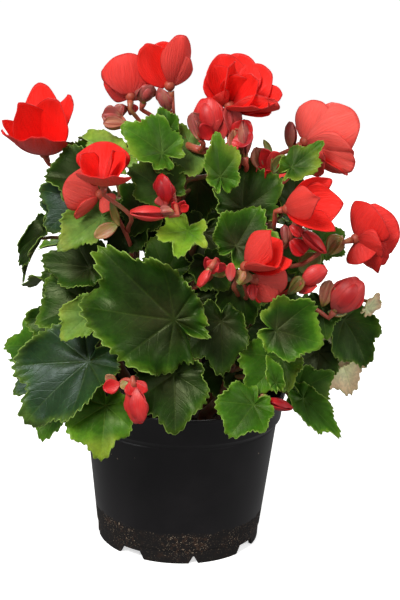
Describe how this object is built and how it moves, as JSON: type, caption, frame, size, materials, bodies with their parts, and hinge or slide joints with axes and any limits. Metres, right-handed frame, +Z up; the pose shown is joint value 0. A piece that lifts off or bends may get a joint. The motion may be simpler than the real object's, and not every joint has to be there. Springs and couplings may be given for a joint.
{
  "type": "potted begonia",
  "caption": "Begonia plant in a round black nursery pot, with toothed green leaves, open red flowers and closed buds on leafy stems.",
  "frame": {"origin": "centre of the pot's base, at the level its feet stand on", "axes": "+Z up along the pot's axis, -Y towards the side seen in the picture, +X to the right of that view"},
  "size_m": [0.2437, 0.2299, 0.324],
  "materials": {
    "pot": "satin black moulded plastic",
    "soil": "dark crumbly peat",
    "leafy_stem": "glossy green leaf",
    "petal": "soft red petal",
    "bud": "smooth dull red bud"
  },
  "bodies": {
    "root": {"pot": "pot", "soil": "soil", "shoot_back": "leafy_stem", "shoot_back_left": "leafy_stem", "shoot_back_right": "leafy_stem", "shoot_centre": "leafy_stem", "shoot_front": "leafy_stem", "shoot_front_left_low": "leafy_stem", "shoot_front_right_low": "leafy_stem", "shoot_left_high": "leafy_stem", "shoot_left_low": "leafy_stem", "shoot_right_high": "leafy_stem", "shoot_right_low": "leafy_stem", "shoot_top_right": "leafy_stem", "bloom_back": "petal", "bloom_back_left": "petal", "bloom_back_right": "petal", "bloom_far_left": "petal", "bloom_far_right": "petal", "bloom_front_cup": "petal", "bloom_front_shell": "petal", "bloom_large": "petal", "bloom_left_cup": "petal", "bloom_left_fan": "petal", "bloom_right_cup": "petal", "bloom_right_top": "petal", "bloom_top": "petal", "bloom_top_back": "petal", "bud_centre": "bud", "bud_cluster_left": "bud", "bud_cluster_right": "bud", "bud_left_long": "bud", "bud_low_left": "bud", "bud_low_right": "bud", "bud_right_lower": "bud", "bud_right_middle": "bud", "bud_right_top": "bud", "bud_right_upper": "bud", "bud_top_left": "bud", "bud_top_middle": "bud", "bud_upper_centre": "bud"}
  },
  "joints": []
}
